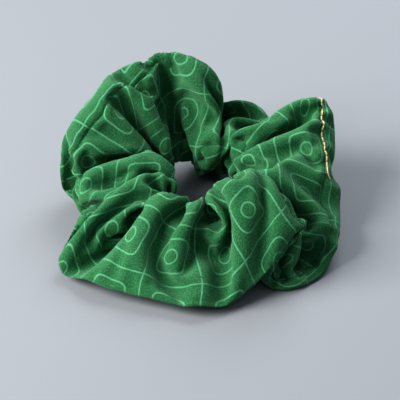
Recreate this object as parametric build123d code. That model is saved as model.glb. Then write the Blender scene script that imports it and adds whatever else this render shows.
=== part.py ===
"""A hair scrunchie: a printed cotton sleeve gathered on a sewn loop of flat elastic.

Millimetres. +Z is up, +X is right and +Y is back. The origin is where the loop's axis meets
the table. The sleeve is one sewn tube of cloth; it is cut here into eight gathers, one for
each puff of cloth, so that the ring can open when the elastic is stretched along X.
Each gather is a thin hollow bead on a flat foot. Its ends are open, and the elastic runs
through all eight beads.
"""

from build123d import *
from math import atan2, cos, degrees, radians, sin, sqrt
import os

# The ring of gathers
ring_radius = 38.0  # from the loop's axis to the middle of each gather
gather_radius = 20.0  # half the width of a gather, seen from above
edge_radius = 12.0  # rounding of a gather's upper and lower edges
body_gap = 0.4  # between the faces of neighbouring gathers
cloth = 0.4  # thickness of the cloth

# Name, direction from the loop's axis in degrees, and height of each gather
GATHERS = (
    ("right", 0.0, 34.0),
    ("back_right", 45.0, 40.0),
    ("back", 90.0, 27.0),
    ("back_left", 135.0, 50.0),
    ("left", 180.0, 44.0),
    ("front_left", 225.0, 33.0),
    ("front", 270.0, 30.0),
    ("front_right", 315.0, 35.0),
)
half_pitch = 180.0 / len(GATHERS)

# The elastic loop
elastic_inset = 9.0  # from the middle of the gathers in to the band, which is relaxed
elastic_radius = ring_radius - elastic_inset  # middle of the band's thickness
elastic_width = 6.0
elastic_thickness = 1.1
elastic_height = 14.0  # middle of the band above the table
elastic_lap = 12.0  # length of the sewn overlap of its two ends
lap_ramp = 10.0  # length over which the outer end climbs over the inner one
lap_gap = 0.05
lap_direction = 180.0

# Seams and thread
thread_radius = 0.2
stitch_pitch = 2.5
stitch_length = 2.0
stitch_sink = 0.5  # share of a stitch's radius that is pulled into the cloth
side_seam_height = 14.0
seam_allowance = 5.0  # raw edges inside the sleeve, beside the side seam
side_seam_inset = 1.5  # from the sleeve's outer face to the line of stitches
closing_gather = "right"  # where the side seam was left open to turn the sleeve
closing_length = 32.0  # of the topstitching that closes it
closing_rise = 1.5  # from the side seam up to the topstitching
closing_thread_radius = 0.3
end_seam_gather = "back"  # where the two ends of the strip are joined
end_seam_turn = 8.0  # from the middle of that gather, in degrees
allowance_clearance = 0.15  # between the end seam's allowance and the outer cloth
zigzag_step = 2.0
zigzag_margin = 0.8  # from the band's edges to the turns of the zigzag

FAR = 200.0  # larger than the whole object, for cutting


def corner(height):
    """Rounding of a gather's upper and lower edges; a low gather has room for less."""
    return min(edge_radius, 0.45 * height)


def level_width(height, level, inset=0.0):
    """Horizontal radius of a gather, less an inset, at a level above the table."""
    radius = corner(height)
    into_corner = max(radius - level, level - (height - radius), 0)
    return gather_radius - radius + sqrt((radius - inset) ** 2 - into_corner**2)


def half_section(height, inset):
    """Half of a gather's upright section, less an inset all round."""
    width = gather_radius - inset
    block = Pos(width / 2, height / 2) * Rectangle(width, height - 2 * inset)
    return fillet(block.vertices().group_by(Axis.X)[-1], corner(height) - inset)


def spun(section):
    """A section turned about the upright axis of a gather that points along +X."""
    return Pos(ring_radius, 0, 0) * revolve(Plane.XZ * section, Axis.Z)


def layer(height, outside):
    """A bead of cloth, a given distance inside a gather's outer face."""
    return spun(half_section(height, outside) - half_section(height, outside + cloth))


def wedge(low, high, gap=0.0):
    """The space between two directions, in degrees, set back from each by half a gap."""
    middle, half = (low + high) / 2, radians(high - low) / 2
    start = gap / 2 / sin(half)
    across, along = FAR * sin(half), start + FAR * cos(half)
    corners = Polyline((start, 0), (along, -across), (along, across), (start, 0))
    return Rot(0, 0, middle) * Pos(0, 0, -FAR / 2) * extrude(make_face(corners), FAR)


def allowance_fin(height):
    """The two raw edges of the side seam, lying flat inside the outer wall of a gather."""
    outer = level_width(height, side_seam_height) - cloth / 2
    edges = Pos(outer - seam_allowance / 2, side_seam_height) * Rectangle(seam_allowance, 2 * cloth)
    outward = Pos(ring_radius + FAR / 2, 0, 0) * Box(FAR, 2 * FAR, FAR)
    return spun(edges) & outward


def sleeve_gather(height):
    """One gather of the sleeve, pointing along +X: a hollow bead with its seam allowance."""
    reach = wedge(-half_pitch, half_pitch, body_gap)
    return (layer(height, 0) & reach) + (allowance_fin(height) & reach)


def stitches(path, radius, count):
    """Straight stitches evenly spaced along a path, as separate solids."""
    spacing = path.length / count
    row = []
    for number in range(count):
        middle = (number + 0.5) * spacing
        place = path.position_at(middle, position_mode=PositionMode.LENGTH)
        along = path.tangent_at(middle, position_mode=PositionMode.LENGTH)
        row.append(Plane(place, z_dir=along) * Cylinder(radius, min(stitch_length, 0.9 * spacing)))
    return row


def side_seam_thread(height):
    """The row of stitches on the seam allowance of a gather that points along +X."""
    radius = level_width(height, side_seam_height) - side_seam_inset
    # The row ends a stitch short of the gather's two end faces.
    end = ring_radius * cos(radians(half_pitch)) + sqrt(
        radius**2 - (ring_radius * sin(radians(half_pitch))) ** 2
    )
    span = degrees(atan2(end * sin(radians(half_pitch)), end * cos(radians(half_pitch)) - ring_radius))
    span -= degrees(stitch_length / radius)
    level = side_seam_height + cloth + thread_radius * (1 - stitch_sink)
    path = CenterArc((0, 0), radius, -span, 2 * span)
    row = stitches(path, thread_radius, int(path.length / stitch_pitch))
    return [Pos(ring_radius, 0, level) * stitch for stitch in row]


def closing_thread(height):
    """The contrasting topstitching along the side seam, on the outside of a gather."""
    level = side_seam_height + closing_rise
    radius = level_width(height, level) + closing_thread_radius * (1 - stitch_sink)
    span = degrees(closing_length / radius)
    path = CenterArc((0, 0), radius, -span / 2, span)
    row = stitches(path, closing_thread_radius, int(closing_length / stitch_pitch))
    return [Pos(ring_radius, 0, level) * stitch for stitch in row]


def end_seam_allowance(height):
    """The strip's two raw ends, pressed open inside a gather, one each side of the end seam."""
    turn = degrees(seam_allowance / (ring_radius + gather_radius))
    reach = wedge(end_seam_turn - turn, end_seam_turn + turn)
    # A slot keeps the ends clear of the raw edges of the side seam.
    slot = Pos(ring_radius, 0, side_seam_height) * Box(
        2 * FAR, 2 * FAR, 2 * (cloth + allowance_clearance), align=(Align.MIN, Align.CENTER, Align.CENTER)
    )
    return (layer(height, cloth + allowance_clearance) & reach) - slot


def end_seam_thread(height):
    """The stitches that join the strip's two ends, right round one section of the sleeve."""
    inset = cloth + allowance_clearance / 2
    cut = Rot(0, 0, end_seam_turn) * (Plane.XZ * Rectangle(FAR, FAR))
    path = (cut & spun(half_section(height, inset))).face().outer_wire()
    return stitches(path, thread_radius, int(path.length / stitch_pitch))


def elastic_path():
    """The band's middle line: once round, then over its own start for the sewn lap."""
    outer_radius = elastic_radius + elastic_thickness + lap_gap
    lap, ramp = degrees(elastic_lap / elastic_radius), degrees(lap_ramp / elastic_radius)
    start = lap_direction - lap / 2
    loop = CenterArc((0, 0), elastic_radius, start, 360 - ramp)
    over = CenterArc((0, 0), outer_radius, start, lap)
    climb = Spline(loop @ 1, over @ 0, tangents=(loop % 1, over % 0))
    return Wire([loop, climb, over])


def elastic_band():
    path = elastic_path()
    start = Plane(path @ 0, x_dir=(0, 0, 1), z_dir=path % 0)
    section = start * Rectangle(elastic_width, elastic_thickness)
    return Pos(0, 0, elastic_height) * sweep(section, path)


def elastic_join_thread():
    """A zigzag of stitches on the outside of the lap, through both ends of the band."""
    face = elastic_radius + 1.5 * elastic_thickness + lap_gap + thread_radius * (1 - stitch_sink)
    steps = int(elastic_lap / zigzag_step)
    reach = elastic_width / 2 - zigzag_margin
    points = []
    for number in range(steps):
        turn = lap_direction + degrees((number - (steps - 1) / 2) * zigzag_step / elastic_radius)
        level = elastic_height + (reach if number % 2 else -reach)
        points.append(Vector(face * cos(radians(turn)), face * sin(radians(turn)), level))
    row = []
    for low, high in zip(points, points[1:]):
        leg = Edge.make_line(low, high)
        rod = Cylinder(thread_radius, leg.length - 3 * thread_radius)
        row.append(Plane((low + high) / 2, z_dir=high - low) * rod)
    return row


def write(name, shape):
    """Writes a node, given as one solid or as a list of them."""
    solids = shape if isinstance(shape, list) else [shape]
    node = Compound(children=[solid for part in solids for solid in part.solids()])
    node.label = name
    export_step(node, f"parts/{name}.step")


def main():
    os.makedirs("parts", exist_ok=True)
    for name, direction, height in GATHERS:
        turn = Rot(0, 0, direction)
        write(f"sleeve_{name}", turn * sleeve_gather(height))
        if name == closing_gather:
            write("closing_seam_thread", [turn * s for s in closing_thread(height)])
        else:
            write(f"side_seam_thread_{name}", [turn * s for s in side_seam_thread(height)])
        if name == end_seam_gather:
            write("end_seam_allowance", turn * end_seam_allowance(height))
            write("end_seam_thread", [turn * s for s in end_seam_thread(height)])
    write("elastic_band", elastic_band())
    write("elastic_join_thread", elastic_join_thread())


main()
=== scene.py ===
"""The looks of a printed cotton scrunchie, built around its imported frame.

The sleeve is one tube of cloth, longer than the elastic inside it. A small cloth solver
gathers it: the tube starts as a wide flattened ring, its inner edge is drawn in round the
elastic, and its outer crease is led through the folds that the object lies in. The seams,
the stitches and the raw edges are then placed on that cloth.
The cloth code works in millimetres. Everything handed to Blender is in metres.
"""

import math

import bpy
import numpy as np
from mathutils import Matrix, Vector

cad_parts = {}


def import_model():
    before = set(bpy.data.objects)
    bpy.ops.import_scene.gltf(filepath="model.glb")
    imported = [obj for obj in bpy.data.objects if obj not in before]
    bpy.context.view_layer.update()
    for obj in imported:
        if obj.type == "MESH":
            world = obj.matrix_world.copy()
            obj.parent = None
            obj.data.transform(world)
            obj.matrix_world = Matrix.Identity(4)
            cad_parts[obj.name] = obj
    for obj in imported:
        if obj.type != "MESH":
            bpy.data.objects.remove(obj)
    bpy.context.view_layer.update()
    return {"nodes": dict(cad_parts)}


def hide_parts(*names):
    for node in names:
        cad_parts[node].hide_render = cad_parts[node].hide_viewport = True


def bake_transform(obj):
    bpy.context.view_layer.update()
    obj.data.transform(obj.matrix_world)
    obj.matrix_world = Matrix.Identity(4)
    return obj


MM = 0.001

# The sleeve's tube of cloth, in millimetres
TUBE_ROUND = 98.0
ROWS = 48  # grid points round the tube; row 0 is the inner edge, ROWS / 2 the outer crease
GRID = 2.1  # spacing of the grid along the tube
CLOTH = 0.4  # thickness
REFINE = 2  # finer grid of the finished mesh

# The folds the sleeve lies in. Each rib is a section of the tube, counter-clockwise from the
# right: a point of the outer crease, of the inner edge, and of the middle of the upper layer
# where the cloth's face needs leading.
RIBS = [
    # right flap, rising from the lower band to its ridge
    ((54, -22, 9), (22, -10, 16), (40, -22, 11)),
    ((57, -9, 11), (17, -6, 20), (37, -13, 22)),
    ((57, 0, 17), (12, 1, 22), (32, 0, 29)),
    ((52, 6, 18), (20, 7, 14), None),
    # second fold and the deep fold behind it
    ((56, 13, 22), (15, 10, 17), (38, 12, 27)),
    ((57, 21, 26), (13, 14, 17), (38, 18, 30)),
    ((56, 28, 30), (20, 15, 12), None),
    ((51, 35, 37), (18, 17, 14), (38, 25, 32)),
    # back right crest and its ridge
    ((44, 36, 34), (15, 19, 15), (31, 25, 31)),
    ((36, 36, 32), (13, 21, 14), (24, 24, 27)),
    ((31, 40, 24), (15, 19, 12), (26, 31, 15)),
    ((29, 47, 14), (13, 20, 12), (23, 35, 11)),
    # small puff at the back
    ((27, 46, 21), (11, 21, 13), (20, 34, 18)),
    ((20, 46, 27), (9, 23, 13), (15, 34, 21)),
    ((11, 47, 27), (7, 24, 12), (10, 35, 20)),
    ((4, 50, 19), (6, 24, 10), (6, 37, 13)),
    # dome
    ((4, 45, 31), (5, 23, 11), None),
    ((5, 42, 44), (4, 23, 12), (6, 33, 27)),
    ((-1, 46, 51), (0, 24, 10), (-1, 38, 31)),
    ((-9, 49, 53), (-5, 23, 10), (-8, 40, 30)),
    ((-17, 49, 52), (-9, 21, 11), (-14, 40, 29)),
    ((-24, 47, 47), (-13, 19, 12), (-20, 35, 29)),
    # hump
    ((-27, 46, 51), (-13, 16, 17), (-19, 31, 37)),
    ((-36, 43, 46), (-19, 17, 15), (-26, 27, 38)),
    ((-43, 35, 39), (-20, 13, 18), (-33, 22, 37)),
    ((-50, 26, 33), (-21, 11, 16), (-40, 15, 33)),
    ((-56, 17, 23), (-22, 7, 19), (-46, 8, 25)),
    ((-58, 8, 11), (-22, 5, 15), None),
    ((-49, 12, 5), (-22, 5, 13), None),
    # two flattened bands at the left
    ((-49, 6, 13), (-13, 4, 24), (-30, 7, 24)),
    ((-53, -2, 12), (-10, -1, 23), (-32, 2, 19)),
    ((-47, -8, 9), (-17, -4, 15), (-36, -4, 12)),
    ((-43, -14, 15), (-8, -8, 25), (-27, -8, 22)),
    # flap at the front left
    ((-46, -19, 18), (-13, -10, 20), (-32, -14, 20)),
    ((-52, -27, 11), (-11, -12, 22), (-36, -20, 20)),
    ((-57, -38, 4), (-15, -12, 18), (-37, -25, 17)),
    ((-48, -45, 5), (-18, -14, 13), (-31, -20, 6)),
    # front, with its hem on the table
    ((-38, -50, 5), (-9, -13, 25), (-25, -27, 21)),
    ((-27, -54, 5), (-5, -15, 25), (-19, -34, 19)),
    ((-15, -57, 5), (-2, -17, 23), (-12, -39, 15)),
    ((-4, -61, 5), (1, -16, 25), (-4, -39, 12)),
    ((5, -61, 4), (4, -18, 22), (3, -34, 8)),
    ((14, -56, 4), (6, -17, 24), (9, -33, 11)),
    ((24, -49, 9), (7, -15, 27), (13, -33, 28)),
    ((32, -41, 16), (12, -15, 29), (21, -29, 33)),
    ((41, -31, 23), (13, -12, 28), (27, -20, 35)),
    ((31, -35, 9), (20, -14, 14), (28, -22, 15)),
    # lower band
    ((31, -44, 4), (21, -14, 13), None),
    ((40, -44, 1.5), (22, -12, 12), (36, -26, 8)),
    ((50, -35, 2), (22, -9, 13), (38, -24, 9)),
]
# More places where the cloth's face needs leading: a rib, a place round the tube, a point.
LEADS = [
    (3, 40, (50, 5, 24)),
    (4, 40, (50, 12, 29)),
    (5, 40, (50, 20, 33)),
    (6, 40, (49, 27, 36)),
    (7, 41, (45, 31, 38)),
]

# The solver
STEPS = 320  # while the ring closes in
SETTLE = 120  # while the folds relax
PASSES = 6  # over all the links in each step
BEND = 0.12  # stiffness of the cloth against bending; against stretching it is 1
SHEAR = 0.35  # stiffness against shearing
GAP = 1.85  # between grid points of layers that lie on each other
LOOK = 3.2  # how far round a grid point to look for other layers
TABLE = 0.6  # lowest level of a grid point
BAND_ROOM = 5.0  # half the height of the room that the tube keeps for the elastic
GRAVITY = 0.012  # fall of a point in each step
PUFF = 0.006  # outward push of the little air held in the tube
DAMPING = 0.9  # share of a point's speed that it keeps
FASTEST = 0.8  # a point's highest speed, in each step
START_BAND = 16.0  # the band starts this far inside the middle of the open tube
CELLS = 1000  # more than the cells on any side of the search for near points

# Seams, measured on the cloth: along the tube from the first rib, and round it from row 0
# The side seam wanders on the gathered tube: a rib, and the seam's place round the tube there.
SIDE_SEAM = [
    (0, 41), (3, 41), (5, 40), (6.3, 41), (7.2, 47), (9, 53), (14, 56), (19, 54), (22, 41),
    (24, 33), (26.5, 35), (30, 46), (36, 58), (42, 60), (46, 52), (48, 44),
]
END_SEAM_RIB = 15
CLOSING_RIBS = (2.7, 7.2)  # where the topstitching starts and ends
ALLOWANCE = 5.0  # width of a raw edge
ALLOWANCE_DEPTH = CLOTH + 0.02  # from the cloth's outer face in to the raw edges
ALLOWANCE_THICK = 0.15
STITCH_PITCH = 2.5
STITCH = 1.8  # length of one stitch
THREAD = 0.15  # radius
TOP_THREAD = 0.33  # radius

# The print: a grid, with a rounded square and a ring in each of its cells
PRINT_PITCH = 25.0
PRINT_LINE = 0.26  # half width of a line
PRINT_SQUARE = 6.8  # half size of the rounded square
PRINT_CORNERS = 4.5  # 2 would make the square round, and a high number sharp
PRINT_RING = 2.8  # radius
PRINT_SHIFT = (-4.0, -3.0)  # puts the grid's lines where they lie on the folds

# Colours
GREEN_LOW, GREEN_HIGH = (0.017, 0.108, 0.040, 1), (0.023, 0.135, 0.050, 1)
GREEN_FIBRE, GREEN_SLUB = (0.055, 0.26, 0.105, 1), (0.004, 0.07, 0.018, 1)
INK, LINT = (0.17, 0.50, 0.28, 1), (0.20, 0.07, 0.04, 1)
KNIT_LOW, KNIT_HIGH = (0.62, 0.60, 0.55, 1), (0.82, 0.81, 0.77, 1)

# The elastic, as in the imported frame
BAND_RADIUS = 29.0
BAND_WIDTH = 6.0
BAND_THICK = 1.1
BAND_LEVEL = 14.0
BAND_STEP = 1.15  # the lap's outer end lies this much further out
BAND_LAP = 12.0
BAND_RAMP = 10.0  # length over which the outer end climbs over the inner one
BAND_SIDES = 16  # points round the band's section


def eased(share):
    """A share from 0 to 1, with a smooth start and end."""
    share = np.clip(share, 0, 1)
    return share * share * (3 - 2 * share)


def length_of(vectors):
    """Lengths of an array of vectors, the same on every machine."""
    return np.sqrt(vectors[..., 0] ** 2 + vectors[..., 1] ** 2 + vectors[..., 2] ** 2)


def closed_curve(points, places, total, wanted):
    """Points of a smooth closed curve through the given points, at the wanted places."""
    ends = np.append(places, total)
    spot = np.searchsorted(ends, wanted, "right") - 1
    f = ((wanted - ends[spot]) / (ends[spot + 1] - ends[spot]))[:, None]
    a, b, c, d = (points[(spot + k) % len(points)] for k in (-1, 0, 1, 2))
    square = f * f
    curve = 2 * b + (c - a) * f + (2 * a - 5 * b + 4 * c - d) * square
    return 0.5 * (curve + (3 * b - a - 3 * c + d) * square * f)


class Guides:
    """Where the ribs lead the tube's crease, inner edge and upper face."""

    def __init__(self):
        crease = np.array([rib[0] for rib in RIBS], float)
        inner = np.array([rib[1] for rib in RIBS], float)
        count, fine = len(RIBS), 50
        numbers = np.arange(count, dtype=float)
        dense = closed_curve(crease, numbers, count, np.arange(count * fine) / fine)
        steps = length_of(np.roll(dense, -1, 0) - dense)
        passed = np.append(0, np.cumsum(steps))
        self.total = round(float(passed[-1]), 3)
        self.places = np.round(passed[:-1:fine], 3)
        self.columns = 8 * round(self.total / GRID / 8)
        wanted = np.arange(self.columns) * self.total / self.columns
        self.crease = np.round(closed_curve(crease, self.places, self.total, wanted), 4)
        self.inner = np.round(closed_curve(inner, self.places, self.total, wanted), 4)
        self.rib_columns = np.round(self.places / self.total * self.columns).astype(int)
        # The inner edge is held firmly at the ribs, and loosely between them.
        self.inner_hold = np.full(self.columns, 0.15)
        for side, hold in ((-1, 0.6), (1, 0.6), (0, 1.0)):
            self.inner_hold[(self.rib_columns + side) % self.columns] = hold
        self.lead_faces()

    def lead_faces(self):
        """A small patch of the upper layer round each led point."""
        leads = [(n, TUBE_ROUND / 4, rib[2]) for n, rib in enumerate(RIBS) if rib[2]] + LEADS
        points, targets, holds = [], [], []
        for number, round_, middle in leads:
            column, (outer, inner, _) = self.rib_columns[number], RIBS[number]
            centre = round(round_ / TUBE_ROUND * ROWS)
            outward = np.array(outer, float) - np.array(inner, float)
            outward /= length_of(outward)
            for aside in (-1, 0, 1):
                for row in (-2, -1, 0, 1, 2):
                    points.append((column + aside) % self.columns * ROWS + centre + row)
                    targets.append(np.array(middle) + outward * row * TUBE_ROUND / ROWS)
                    holds.append(1.0 if aside == row == 0 else 0.5)
        self.face_points = np.array(points)
        self.face_targets = np.round(np.array(targets), 4)
        self.face_holds = np.array(holds)[:, None]

    def along(self, rib):
        """Distance along the tube to a rib, or to a place between two ribs."""
        return np.interp(rib, np.arange(len(RIBS)), self.places)

    def seam(self, along):
        """The side seam's place round the tube."""
        ribs, rounds = np.array(SIDE_SEAM, float).T
        wanted = np.mod(np.asarray(along, float), self.total)
        curve = closed_curve(rounds[:, None], self.along(ribs), self.total, wanted.ravel())
        return curve.reshape(wanted.shape)


def link_sets(index, step, rest, stiffness, skip=None):
    """Links from each grid point to the one a step away, as two sets with no point used twice."""
    other = np.roll(index, (-step[0], -step[1]), (0, 1))
    columns, rows = np.indices(index.shape)
    turn = columns // step[0] if step[0] else rows // step[1]
    use = np.ones(index.shape, bool) if skip is None else ~skip
    sets = []
    for colour in (0, 1):
        chosen = use & (turn % 2 == colour)
        sets.append((index[chosen], other[chosen], rest, stiffness))
    return sets


def cloth_links(index, along, across):
    """Stretch, shear and bending links. The crease is left free to fold."""
    crease = ROWS // 2
    rows = np.indices(index.shape)[1]
    links = link_sets(index, (1, 0), along, 1.0) + link_sets(index, (0, 1), across, 1.0)
    for sideways in (1, -1):
        links += link_sets(index, (1, sideways), math.hypot(along, across), SHEAR)
    links += link_sets(index, (2, 0), 2 * along, BEND)
    links += link_sets(index, (0, 2), 2 * across, BEND, rows + 1 == crease)
    links += link_sets(index, (4, 0), 4 * along, 0.3 * BEND)
    links += link_sets(index, (0, 4), 4 * across, 0.3 * BEND, abs(rows + 2 - crease) < 2)
    return links


def near_pairs(points, columns):
    """Pairs of grid points that are near in space but not neighbours in the cloth."""
    cell = np.floor(points / LOOK).astype(np.int64) + CELLS // 5
    key = (cell[:, 0] * CELLS + cell[:, 1]) * CELLS + cell[:, 2]
    order = np.argsort(key, kind="stable")
    keys = key[order]
    firsts, seconds = [], []
    for shift_x in (-1, 0, 1):
        for shift_y in (-1, 0, 1):
            shifted = keys + (shift_x * CELLS + shift_y) * CELLS
            low = np.searchsorted(keys, shifted - 1, "left")
            count = np.searchsorted(keys, shifted + 1, "right") - low
            first = np.repeat(np.arange(len(keys)), count)
            second = np.arange(count.sum()) + np.repeat(low - np.cumsum(count) + count, count)
            later = first < second
            firsts.append(order[first[later]])
            seconds.append(order[second[later]])
    a, b = np.concatenate(firsts), np.concatenate(seconds)
    near = length_of(points[a] - points[b]) < LOOK
    a, b = a[near], b[near]
    apart_along = abs(a // ROWS - b // ROWS)
    apart_round = abs(a % ROWS - b % ROWS)
    apart_along = np.minimum(apart_along, columns - apart_along)
    apart_round = np.minimum(apart_round, ROWS - apart_round)
    strangers = np.maximum(apart_along, apart_round) > 2
    return a[strangers], b[strangers]


def outward_normals(grid):
    """Unit normals of the tube's surface, pointing out of it."""
    along = np.roll(grid, -1, 0) - np.roll(grid, 1, 0)
    across = np.roll(grid, -1, 1) - np.roll(grid, 1, 1)
    normals = np.cross(across, along)
    return normals / np.maximum(length_of(normals), 1e-9)[..., None]


def pull_links(points, links):
    """Moves the two ends of each link toward its rest length."""
    for a, b, rest, stiffness in links:
        apart = points[b] - points[a]
        length = length_of(apart)
        move = (0.5 * stiffness * (length - rest) / np.maximum(length, 1e-9))[:, None] * apart
        points[a] += move
        points[b] -= move


def push_layers_apart(points, a, b):
    """Moves near pairs of points, at most a gap apart, away from each other."""
    apart = points[b] - points[a]
    length = length_of(apart)
    close = length < GAP
    a, b, apart, length = a[close], b[close], apart[close], np.maximum(length[close], 1e-6)
    push = (0.5 * (GAP - length) / length)[:, None] * apart
    touched = np.bincount(a, minlength=len(points)) + np.bincount(b, minlength=len(points))
    share = 1 / np.sqrt(np.maximum(touched, 1))
    for axis in range(3):
        forward = np.bincount(b, push[:, axis], len(points))
        backward = np.bincount(a, push[:, axis], len(points))
        points[:, axis] += share * (forward - backward)


def keep_round_band(points, band_radius, sides):
    """Keeps the upper layer (side 1) above the elastic and the lower layer (side -1) below it."""
    outward = np.sqrt(points[:, 0] ** 2 + points[:, 1] ** 2) - band_radius
    room = np.sqrt(np.maximum(BAND_ROOM**2 - outward**2, 0))
    short = room - sides * (points[:, 2] - BAND_LEVEL)
    move = np.clip(0.5 * short, 0, 0.6) * (room > 0)
    points[:, 2] += sides * move


def open_tube(guides):
    """The tube before it is gathered: a wide, flattened ring as long as the sleeve."""
    wide = guides.total / (2 * math.pi)
    first = math.atan2(guides.crease[0, 1], guides.crease[0, 0])
    turn = first + np.arange(guides.columns)[:, None] / guides.columns * 2 * math.pi
    section = np.arange(ROWS)[None, :] / ROWS * 2 * math.pi
    radius = wide - 22 * np.cos(section)
    level = 15 + 5 * np.sin(section) + 0 * turn
    return np.round(np.stack([radius * np.cos(turn), radius * np.sin(turn), level], -1), 6)


class Gathering:
    """The solver: draws the open tube in round the elastic, and then lets its folds relax."""

    def __init__(self, guides):
        self.guides = guides
        self.shape = (guides.columns, ROWS, 3)
        index = np.arange(guides.columns * ROWS).reshape(guides.columns, ROWS)
        self.inner, self.crease = index[:, 0], index[:, ROWS // 2]
        self.links = cloth_links(index, guides.total / guides.columns, TUBE_ROUND / ROWS)
        self.start = open_tube(guides)
        self.points = self.start.reshape(-1, 3).copy()
        self.before = self.points.copy()
        rows = np.tile(np.arange(ROWS), guides.columns)
        self.sides = np.sign(ROWS // 2 - rows) * (rows > 0)

    def drift(self):
        """Moves the points by their speed, the air in the tube and gravity."""
        speed = (self.points - self.before) * DAMPING
        speed *= np.minimum(1, FASTEST / np.maximum(length_of(speed), 1e-9))[:, None]
        self.before = self.points.copy()
        normals = outward_normals(self.points.reshape(self.shape)).reshape(-1, 3)
        self.points = self.points + speed + PUFF * normals
        self.points[:, 2] -= GRAVITY

    def lead(self, closed, settling):
        """Draws the inner edge, the outer crease and the led faces toward their guides."""
        points, guides, start = self.points, self.guides, self.start
        crease_hold = 0.15 if settling else 0.25
        face_hold = 0.04 if settling else 0.08 * closed * max(0.0, (closed - 0.3) / 0.7) ** 2
        inner_goal = start[:, 0] * (1 - closed) + guides.inner * closed
        crease_goal = start[:, ROWS // 2] * (1 - closed) + guides.crease * closed
        inner_hold = 0.35 * guides.inner_hold[:, None]
        points[self.inner] += inner_hold * (inner_goal - points[self.inner])
        points[self.crease] += crease_hold * (crease_goal - points[self.crease])
        faces = guides.face_points
        points[faces] += face_hold * guides.face_holds * (guides.face_targets - points[faces])

    def run(self):
        """Returns the tube's grid of points after it has been gathered: columns x ROWS x 3."""
        first_band = self.guides.total / (2 * math.pi) - START_BAND
        for step in range(STEPS + SETTLE):
            closed = float(eased(step / STEPS))
            band_radius = first_band * (1 - closed) + BAND_RADIUS * closed
            self.drift()
            if step % 4 == 0:
                near = near_pairs(self.points, self.guides.columns)
            for number in range(PASSES):
                pull_links(self.points, self.links)
                self.lead(closed, step >= STEPS)
                if number % 2:
                    push_layers_apart(self.points, *near)
                    keep_round_band(self.points, band_radius, self.sides)
                self.points[:, 2] = np.maximum(self.points[:, 2], TABLE)
        return self.points.reshape(self.shape)


def doubled(grid, axis):
    """A closed grid with a smooth new point between every two along an axis."""
    near, far = grid + np.roll(grid, -1, axis), np.roll(grid, 1, axis) + np.roll(grid, -2, axis)
    middle = (9 * near - far) / 16
    shape = list(grid.shape)
    shape[axis] *= 2
    return np.stack([grid, middle], axis + 1).reshape(shape)


def bell(distance, width):
    """1 at no distance, falling smoothly to 0 over about two widths."""
    return np.exp(-((distance / width) ** 2))


def waves(place, pitch, seed):
    """An uneven wave from -1 to 1 along the cloth, with about the given pitch."""
    generator = np.random.default_rng(seed)
    total = 0
    for number in range(5):
        turns = 2 * math.pi * place / (pitch * generator.uniform(0.75, 1.35))
        total = total + np.sin(turns + generator.uniform(0, 2 * math.pi))
    return total / 3.2


class Sleeve:
    """The gathered cloth, with places on it given along and round the tube."""

    def __init__(self):
        self.guides = Guides()
        grid = Gathering(self.guides).run()
        for _ in range(REFINE // 2):
            grid = doubled(doubled(grid, 0), 1)
        self.columns, self.rows = grid.shape[:2]
        self.length = self.guides.total
        self.along = np.arange(self.columns)[:, None] * self.length / self.columns
        self.round = np.arange(self.rows)[None, :] * TUBE_ROUND / self.rows
        normals = outward_normals(grid)
        self.grid = grid + normals * self.relief()[..., None]
        self.normals = outward_normals(self.grid)

    def relief(self):
        """Small wrinkles: puckers beside the side seam and at the gathered inner edge."""
        from_seam = self.round - self.guides.seam(self.along)
        groove = -1.1 * bell(from_seam, 1.1)
        pucker = 0.7 * waves(self.along, 6.0, 4) * bell(from_seam, 5)
        from_inner = np.minimum(self.round, TUBE_ROUND - self.round)
        gathers = 0.55 * waves(self.along + 0.6 * from_inner, 6.5, 7)
        gathers = gathers * bell(from_inner, 14)
        rumple = 0.2 * waves(self.along + 0.8 * self.round, 17, 2)
        rumple = rumple * waves(self.along * 0.4 - self.round, 23, 3)
        end_seam = self.along - self.guides.along(END_SEAM_RIB)
        end_groove = -0.6 * bell(end_seam, 0.9)
        return groove + pucker + gathers + rumple + end_groove

    def at(self, along, round_, out=0.0):
        """Points on the cloth, moved out along its normal."""
        return self.sample(self.grid + self.normals * out, along, round_)

    def sample(self, grid, along, round_):
        """Values of a grid at places between its points."""
        column = np.asarray(along, float) / self.length * self.columns
        row = np.asarray(round_, float) / TUBE_ROUND * self.rows
        c, r = np.floor(column).astype(int), np.floor(row).astype(int)
        fc, fr = (column - c)[..., None], (row - r)[..., None]
        low = grid[c % self.columns, r % self.rows] * (1 - fr)
        low = low + grid[c % self.columns, (r + 1) % self.rows] * fr
        high = grid[(c + 1) % self.columns, r % self.rows] * (1 - fr)
        high = high + grid[(c + 1) % self.columns, (r + 1) % self.rows] * fr
        return low * (1 - fc) + high * fc


def new_piece(name, points, faces, material):
    """A smooth mesh object from points in millimetres."""
    mesh = bpy.data.meshes.new(name)
    mesh.from_pydata((np.asarray(points) * MM).tolist(), [], list(faces))
    mesh.polygons.foreach_set("use_smooth", np.ones(len(mesh.polygons), bool))
    mesh.materials.append(material)
    mesh.update()
    piece = bpy.data.objects.new(name, mesh)
    bpy.context.scene.collection.objects.link(piece)
    return piece


def grid_faces(columns, rows, closed_columns=True):
    """Four-sided faces of a grid of points whose rows are closed."""
    index = np.arange(columns * rows).reshape(columns, rows)
    a, b = index, np.roll(index, -1, 0)
    faces = np.stack([a, np.roll(a, -1, 1), np.roll(b, -1, 1), b], -1)
    return faces[: None if closed_columns else -1].reshape(-1, 4)


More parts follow.
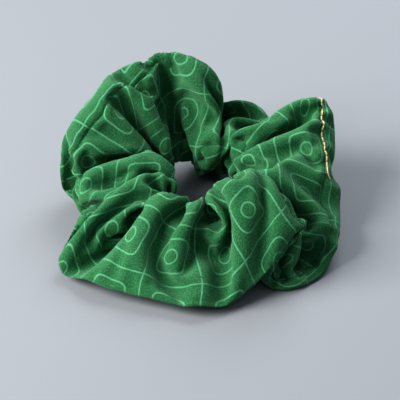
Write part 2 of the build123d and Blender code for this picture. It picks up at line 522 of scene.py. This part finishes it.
def cloth_piece(sleeve, material):
    """The sleeve: the cloth's outer face, and its inner face one thickness below."""
    columns, rows = sleeve.columns, sleeve.rows
    outer = sleeve.grid.copy()
    outer[..., 2] = np.maximum(outer[..., 2], 0.1)
    inner = outer - sleeve.normals * CLOTH
    inner[..., 2] = np.maximum(inner[..., 2], 0.1 + CLOTH)
    faces = grid_faces(columns, rows)
    both = np.concatenate([faces, faces[:, ::-1] + columns * rows])
    points = np.concatenate([outer.reshape(-1, 3), inner.reshape(-1, 3)])
    piece = new_piece("sleeve", points, both, material)
    column, row = np.divmod(both % (columns * rows), rows)
    # A face that closes the tube ends at its full size, and not at 0.
    column = np.where((column == 0) & (column.max(1, keepdims=True) == columns - 1), columns, column)
    row = np.where((row == 0) & (row.max(1, keepdims=True) == rows - 1), rows, row)
    along = column * sleeve.length / columns
    from_seam = row * TUBE_ROUND / rows - sleeve.guides.seam(along)
    # The print breaks at the seam: a face lies wholly on one side of it.
    from_seam = from_seam + TUBE_ROUND * (from_seam.mean(1, keepdims=True) < 0)
    place = np.stack([along, from_seam, 0 * row], -1)
    spread = piece.data.attributes.new("cloth_place", "FLOAT_VECTOR", "CORNER")
    spread.data.foreach_set("vector", place.astype(np.float32).ravel())
    return piece


def strip(sleeve, along, round_, depth):
    """A flat strip of cloth inside the sleeve: points and faces of a closed layer."""
    top = sleeve.at(along, round_, -depth)
    bottom = sleeve.at(along, round_, -depth - ALLOWANCE_THICK)
    columns, rows = along.shape
    points = np.concatenate([top, bottom[:, ::-1]], 1)
    points[..., 2] = np.maximum(points[..., 2], 0.5)
    return points.reshape(-1, 3), grid_faces(columns, 2 * rows)


def allowances(sleeve, material):
    """The raw edges beside the side seam and the end seam, pressed open inside the sleeve."""
    count = int(sleeve.length)
    along, across = np.meshgrid(
        np.arange(count) * sleeve.length / count,
        np.linspace(-ALLOWANCE, ALLOWANCE, 9),
        indexing="ij",
    )
    across = across + sleeve.guides.seam(along)
    side_points, side_faces = strip(sleeve, along, across, ALLOWANCE_DEPTH)
    middle = sleeve.guides.along(END_SEAM_RIB)
    count = int(TUBE_ROUND)
    across, along = np.meshgrid(
        np.arange(count) * TUBE_ROUND / count,
        middle + np.linspace(ALLOWANCE, -ALLOWANCE, 9),
        indexing="ij",
    )
    # The end seam's raw edges lie on those of the side seam.
    depth = ALLOWANCE_DEPTH + 1.2 * ALLOWANCE_THICK
    end_points, end_faces = strip(sleeve, along, across, depth)
    points = np.concatenate([side_points, end_points])
    faces = np.concatenate([side_faces, end_faces + len(side_points)])
    return new_piece("seam_allowances", points, faces, material)


def tube_mesh(path, radius, sides=8):
    """Points and faces of a thread along a path, with rounded ends."""
    path = np.asarray(path, float)
    ahead = np.gradient(path, axis=0)
    ahead /= length_of(ahead)[:, None]
    helper = np.array([0.0, 0.0, 1.0]) if abs(ahead[:, 2]).max() < 0.9 else np.array([1.0, 0, 0])
    side = np.cross(ahead, helper)
    side /= np.maximum(length_of(side), 1e-9)[:, None]
    other = np.cross(ahead, side)
    start, end = path[:1] - 0.6 * radius * ahead[:1], path[-1:] + 0.6 * radius * ahead[-1:]
    path = np.concatenate([start, path, end])
    side, other = (np.concatenate([v[:1], v, v[-1:]]) for v in (side, other))
    width = np.full(len(path), radius)
    width[[0, -1]] = 0.45 * radius
    turn = np.arange(sides) / sides * 2 * math.pi
    ring = side[:, None] * np.cos(turn)[None, :, None]
    ring = ring + other[:, None] * np.sin(turn)[None, :, None]
    points = (path[:, None] + ring * width[:, None, None]).reshape(-1, 3)
    faces = grid_faces(len(path), sides, closed_columns=False).tolist()
    faces.append(list(range(sides))[::-1])
    faces.append(list(range(len(points) - sides, len(points))))
    return points, faces


def joined(meshes):
    """Points and faces of several meshes as one."""
    points, faces, count = [], [], 0
    for part_points, part_faces in meshes:
        points.append(part_points)
        faces += [[corner + count for corner in face] for face in part_faces]
        count += len(part_points)
    return np.concatenate(points), faces


def stitches(sleeve, places, out, radius, rise):
    """Stitches a distance out from the cloth between pairs of places, arched by a rise."""
    shares = np.linspace(0, 1, 5)
    meshes = []
    for (along_a, round_a), (along_b, round_b) in places:
        along = along_a + (along_b - along_a) * shares
        round_ = round_a + (round_b - round_a) * shares
        arch = out + rise * 4 * shares * (1 - shares)
        low, high = sleeve.at(along, round_), sleeve.at(along, round_, 1.0)
        meshes.append(tube_mesh(low + (high - low) * arch[:, None], radius))
    return joined(meshes)


def seam_stitch(sleeve, along, beside):
    """The two ends of a stitch that runs beside the side seam."""
    start, end = sleeve.guides.seam(np.array([along, along + STITCH])) + beside
    return (along, start), (along + STITCH, end)


def side_seam_stitches(sleeve, material):
    """The machine stitching inside, along the whole side seam but for the turning gap."""
    first, last = (sleeve.guides.along(rib) for rib in CLOSING_RIBS)
    places = []
    for along in np.arange(0, sleeve.length - STITCH_PITCH, STITCH_PITCH):
        if not first - STITCH_PITCH < along < last:
            places.append(seam_stitch(sleeve, along, 0))
    mesh = stitches(sleeve, places, -CLOTH - 0.25, THREAD, 0.05)
    return new_piece("side_seam_stitching", *mesh, material)


def end_seam_stitches(sleeve, material):
    """The stitching that joins the strip's two ends, inside, once round the tube."""
    along = sleeve.guides.along(END_SEAM_RIB)
    places = [((along, r), (along, r + STITCH)) for r in np.arange(0, TUBE_ROUND - 2, STITCH_PITCH)]
    mesh = stitches(sleeve, places, -CLOTH - 0.4, THREAD, 0.05)
    return new_piece("end_seam_stitching", *mesh, material)


def closing_topstitch(sleeve, material):
    """The contrasting topstitching that closes the turning gap, with a loose thread end."""
    first, last = (sleeve.guides.along(rib) for rib in CLOSING_RIBS)
    places = []
    for along in np.arange(first, last, STITCH_PITCH):
        places.append(seam_stitch(sleeve, along, 0.9))
    points, faces = stitches(sleeve, places, 0.05, TOP_THREAD, 0.3)
    shares = np.linspace(0, 1, 9)
    along = first - 3.5 * shares
    tail = sleeve.at(along, sleeve.guides.seam(along) + 0.9 + 2.2 * shares**2, 0.5)
    tail_mesh = tube_mesh(tail, 0.7 * TOP_THREAD)
    return new_piece("closing_topstitch", *joined([(points, faces), tail_mesh]), material)


def band_section():
    """Points round the band's section, from -1 to 1 each way: a bar with rounded corners."""
    outline = []
    for number in range(BAND_SIDES):
        turn = 2 * math.pi * number / BAND_SIDES
        across, through = math.cos(turn), math.sin(turn)
        across = math.copysign(abs(across) ** 0.35, across)
        through = math.copysign(abs(through) ** 0.6, through)
        outline.append((across, through))
    return np.array(outline)


def elastic_piece(material):
    """The flat band: once round, then over its own start for the sewn lap."""
    total = 2 * math.pi * BAND_RADIUS + BAND_LAP
    place = np.linspace(0, total, int(total))
    angle = math.pi + (place - BAND_LAP / 2) / BAND_RADIUS
    climb = eased((place - (2 * math.pi * BAND_RADIUS - BAND_RAMP)) / BAND_RAMP)
    radius = BAND_RADIUS + BAND_STEP * climb
    section = band_section()
    r = radius[:, None] + section[None, :, 1] * BAND_THICK / 2
    z = BAND_LEVEL + section[None, :, 0] * BAND_WIDTH / 2 + 0 * r
    points = np.stack([r * np.cos(angle)[:, None], r * np.sin(angle)[:, None], z], -1)
    faces = grid_faces(len(place), BAND_SIDES, closed_columns=False).tolist()
    last = BAND_SIDES * (len(place) - 1)
    faces.append(list(range(BAND_SIDES))[::-1])
    faces.append(list(range(last, last + BAND_SIDES)))
    return new_piece("elastic", points.reshape(-1, 3), faces, material)


class Shading:
    """A material and short ways to add nodes to it."""

    def __init__(self, name, roughness, sheen, sheen_tint=(1, 1, 1, 1)):
        self.material = bpy.data.materials.new(name)
        self.material.use_nodes = True
        self.tree = self.material.node_tree
        self.shader = self.tree.nodes["Principled BSDF"]
        self.shader.inputs["Roughness"].default_value = roughness
        self.shader.inputs["Specular IOR Level"].default_value = 0.25
        self.shader.inputs["Sheen Weight"].default_value = sheen
        self.shader.inputs["Sheen Roughness"].default_value = 0.45
        self.shader.inputs["Sheen Tint"].default_value = sheen_tint

    def feed(self, socket, value):
        if isinstance(value, bpy.types.NodeSocket):
            self.tree.links.new(value, socket)
        else:
            socket.default_value = value

    def math(self, operation, *values):
        node = self.tree.nodes.new("ShaderNodeMath")
        node.operation = operation
        for socket, value in zip(node.inputs, values):
            self.feed(socket, value)
        return node.outputs[0]

    def mix(self, share, low, high):
        """A colour between two colours."""
        node = self.tree.nodes.new("ShaderNodeMix")
        node.data_type = "RGBA"
        sockets = (node.inputs[0], node.inputs[6], node.inputs[7])  # its factor and two colours
        for socket, value in zip(sockets, (share, low, high)):
            self.feed(socket, value)
        return node.outputs[2]

    def ramp(self, value, low, high, to_low=0.0, to_high=1.0):
        """A smooth step between two numbers as a value goes from low to high."""
        node = self.tree.nodes.new("ShaderNodeMapRange")
        node.interpolation_type = "SMOOTHSTEP"
        for socket, number in zip(node.inputs, (value, low, high, to_low, to_high)):
            self.feed(socket, number)
        return node.outputs[0]

    def noise(self, vector, scale, detail=2.0, colour=False):
        node = self.tree.nodes.new("ShaderNodeTexNoise")
        self.feed(node.inputs["Vector"], vector)
        node.inputs["Scale"].default_value = scale
        node.inputs["Detail"].default_value = detail
        return node.outputs["Color" if colour else "Fac"]

    def attribute(self, name):
        node = self.tree.nodes.new("ShaderNodeAttribute")
        node.attribute_name = name
        return node.outputs["Vector"]

    def position(self):
        return self.tree.nodes.new("ShaderNodeTexCoord").outputs["Object"]

    def vector(self, operation, first, second):
        node = self.tree.nodes.new("ShaderNodeVectorMath")
        node.operation = operation
        self.feed(node.inputs[0], first)
        self.feed(node.inputs[1], second)
        return node.outputs[0]

    def parts(self, vector):
        node = self.tree.nodes.new("ShaderNodeSeparateXYZ")
        self.feed(node.inputs[0], vector)
        return node.outputs

    def bump(self, height, distance, strength=1.0):
        node = self.tree.nodes.new("ShaderNodeBump")
        node.inputs["Strength"].default_value = strength
        node.inputs["Distance"].default_value = distance
        self.feed(node.inputs["Height"], height)
        self.feed(self.shader.inputs["Normal"], node.outputs[0])

    def colour(self, value):
        self.feed(self.shader.inputs["Base Color"], value)


def print_lines(shading, place):
    """How much of the print's light ink is at a place on the cloth."""
    wobble = shading.noise(place, 0.035, 1.0, colour=True)
    wobble = shading.vector("SUBTRACT", wobble, (0.5, 0.5, 0.5))
    wobble = shading.vector("MULTIPLY", wobble, (5, 5, 0))
    x, y = shading.parts(shading.vector("ADD", place, wobble))[:2]
    x = shading.math("ADD", x, PRINT_SHIFT[0])
    y = shading.math("ADD", y, PRINT_SHIFT[1])
    half = PRINT_PITCH / 2
    lines = shading.math(
        "MINIMUM", shading.math("PINGPONG", x, half), shading.math("PINGPONG", y, half)
    )
    # From here x and y are measured from the middle of the cell.
    x = shading.math("SUBTRACT", shading.math("FLOORED_MODULO", x, PRINT_PITCH), half)
    y = shading.math("SUBTRACT", shading.math("FLOORED_MODULO", y, PRINT_PITCH), half)
    nearest = shading.math("MINIMUM", lines, square_line(shading, x, y))
    nearest = shading.math("MINIMUM", nearest, ring_line(shading, x, y))
    uneven = shading.math("MULTIPLY", shading.noise(place, 0.9), 0.25)
    nearest = shading.math("ADD", nearest, uneven)
    return shading.ramp(nearest, PRINT_LINE - 0.05, PRINT_LINE + 0.35, 1.0, 0.0)


def square_line(shading, x, y):
    """Distance to the line of the rounded square."""
    x = shading.math("POWER", shading.math("ABSOLUTE", x), PRINT_CORNERS)
    y = shading.math("POWER", shading.math("ABSOLUTE", y), PRINT_CORNERS)
    out = shading.math("POWER", shading.math("ADD", x, y), 1 / PRINT_CORNERS)
    return shading.math("ABSOLUTE", shading.math("SUBTRACT", out, PRINT_SQUARE))


def ring_line(shading, x, y):
    """Distance to the line of the ring."""
    squares = shading.math("ADD", shading.math("MULTIPLY", x, x), shading.math("MULTIPLY", y, y))
    out = shading.math("SQRT", squares)
    return shading.math("ABSOLUTE", shading.math("SUBTRACT", out, PRINT_RING))


def weave_height(shading, x, y, fibre):
    """Height of the cotton's face: a plain weave and its fibres, sunk along the side seam."""
    warp = shading.math("SINE", shading.math("MULTIPLY", x, 2 * math.pi / 0.62))
    weft = shading.math("SINE", shading.math("MULTIPLY", y, 2 * math.pi / 0.58))
    weave = shading.math("MULTIPLY", shading.math("MULTIPLY", warp, weft), 0.5)
    height = shading.math("ADD", weave, shading.math("MULTIPLY", fibre, 1.9))
    seam = shading.math("MINIMUM", y, shading.math("SUBTRACT", TUBE_ROUND, y))
    return shading.math("ADD", height, shading.ramp(seam, 0.0, 0.9, -2.5, 0.0))


def printed_cotton():
    """Green cotton in a plain weave, with a thin light-green print and a few specks of lint."""
    shading = Shading("printed_cotton", 0.8, 0.35, (0.5, 0.9, 0.6, 1))
    place = shading.attribute("cloth_place")
    x, y = shading.parts(place)[:2]
    slub = shading.noise(shading.vector("MULTIPLY", place, (0.35, 2.2, 1)), 1.0, 3.0)
    fibre = shading.noise(place, 1.5, 4.0)
    shade = shading.noise(place, 0.05, 2.0)
    lint = shading.noise(shading.vector("ADD", place, (31, 17, 0)), 0.9, 0.0)
    cotton = shading.mix(shading.ramp(shade, 0.3, 0.7), GREEN_LOW, GREEN_HIGH)
    cotton = shading.mix(shading.ramp(fibre, 0.42, 0.66, 0.0, 0.6), cotton, GREEN_FIBRE)
    cotton = shading.mix(shading.ramp(slub, 0.5, 0.8, 0.0, 0.35), cotton, GREEN_SLUB)
    ink = shading.math("MULTIPLY", print_lines(shading, place), 0.6)
    cotton = shading.mix(ink, cotton, INK)
    shading.colour(shading.mix(shading.ramp(lint, 0.845, 0.87, 0.0, 0.5), cotton, LINT))
    shading.bump(weave_height(shading, x, y, fibre), 0.00025)
    return shading.material


def thread(name, light, dark):
    """Twisted sewing thread."""
    shading = Shading(name, 0.6, 0.3)
    twist = shading.noise(shading.position(), 2500, 2.0)
    shading.colour(shading.mix(shading.ramp(twist, 0.35, 0.65), dark, light))
    shading.bump(twist, 0.0001)
    return shading.material


def ribbed_elastic():
    """White knitted elastic, ribbed along its length."""
    shading = Shading("elastic", 0.75, 0.2)
    position = shading.position()
    level = shading.parts(position)[2]
    ribs = shading.math("SINE", shading.math("MULTIPLY", level, 2 * math.pi / 0.0009))
    knit = shading.noise(position, 1800, 2.0)
    shading.colour(shading.mix(shading.ramp(knit, 0.3, 0.7), KNIT_LOW, KNIT_HIGH))
    shading.bump(shading.math("ADD", ribs, shading.math("MULTIPLY", knit, 1.5)), 0.00015)
    return shading.material


def add_camera():
    """The camera looks down at the object from the front."""
    target, distance, elevation = Vector((0, 0, 0.0094)), 0.55, math.radians(38)
    toward = Vector((0, -math.cos(elevation), math.sin(elevation)))
    data = bpy.data.cameras.new("camera")
    data.sensor_width = 36
    data.angle = math.radians(17)
    camera = bpy.data.objects.new("camera", data)
    camera.location = target + toward * distance
    camera.rotation_euler = (-toward).to_track_quat("-Z", "Y").to_euler()
    bpy.context.scene.collection.objects.link(camera)
    bpy.context.scene.camera = camera


def add_light(name, place, size, power, colour):
    """A round soft light that points at the object."""
    data = bpy.data.lights.new(name, "AREA")
    data.shape = "DISK"
    data.size = size
    data.energy = power
    data.color = colour
    light = bpy.data.objects.new(name, data)
    light.location = place
    light.rotation_euler = (-Vector(place)).to_track_quat("-Z", "Y").to_euler()
    bpy.context.scene.collection.objects.link(light)


def add_studio():
    """A plain pale floor under soft light."""
    corners = np.array([(-3, -3, 0), (3, -3, 0), (3, 3, 0), (-3, 3, 0)]) / MM
    floor = new_piece("floor", corners, [(0, 1, 2, 3)], floor_paint())
    add_light("key", (-0.73, -0.15, 0.54), 0.66, 15.0, (1.0, 0.99, 0.97))
    add_light("back", (0.25, 0.60, 0.60), 0.6, 5.0, (0.95, 0.97, 1.0))
    world = bpy.data.worlds.new("studio")
    world.use_nodes = True
    sky = world.node_tree.nodes["Background"]
    sky.inputs["Color"].default_value = (0.80, 0.86, 0.95, 1)
    sky.inputs["Strength"].default_value = 0.38
    bpy.context.scene.world = world
    bpy.context.scene.view_settings.view_transform = "Standard"
    bpy.context.scene.view_settings.look = "High Contrast"


def floor_paint():
    """Matt grey paint."""
    shading = Shading("floor", 0.6, 0.0)
    shading.colour((0.24, 0.25, 0.265, 1))
    return shading.material


def join_zigzag(material):
    """The stitches of the elastic's lap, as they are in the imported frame."""
    mesh = bpy.data.objects["elastic_join_thread"].data.copy()
    mesh.materials.clear()
    mesh.materials.append(material)
    zigzag = bpy.data.objects.new("elastic_zigzag", mesh)
    bpy.context.scene.collection.objects.link(zigzag)
    return zigzag


def main():
    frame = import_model()
    nodes = frame["nodes"]
    add_camera()
    add_studio()
    cotton = printed_cotton()
    green_thread = thread("seam_thread", (0.06, 0.26, 0.10, 1), (0.02, 0.12, 0.045, 1))
    tan_thread = thread("closing_thread", (0.72, 0.53, 0.32, 1), (0.42, 0.27, 0.15, 1))
    band_white = ribbed_elastic()
    sleeve = Sleeve()
    cloth = cloth_piece(sleeve, cotton)
    raw_edges = allowances(sleeve, cotton)
    side_stitching = side_seam_stitches(sleeve, green_thread)
    end_stitching = end_seam_stitches(sleeve, green_thread)
    topstitch = closing_topstitch(sleeve, tan_thread)
    band = elastic_piece(band_white)
    zigzag = join_zigzag(thread("white_thread", (0.8, 0.8, 0.78, 1), (0.5, 0.5, 0.48, 1)))
    pieces = {
        cloth: ("printed_cotton", [n for n in nodes if n.startswith("sleeve_")]),
        raw_edges: ("printed_cotton", ["end_seam_allowance"]),
        side_stitching: ("seam_thread", [n for n in nodes if n.startswith("side_seam_thread_")]),
        end_stitching: ("seam_thread", ["end_seam_thread"]),
        topstitch: ("closing_thread", ["closing_seam_thread"]),
        band: ("elastic", ["elastic_band"]),
        zigzag: ("seam_thread", ["elastic_join_thread"]),
    }
    for piece, (slot, replaced) in pieces.items():
        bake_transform(piece)
        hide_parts(*replaced)


main()
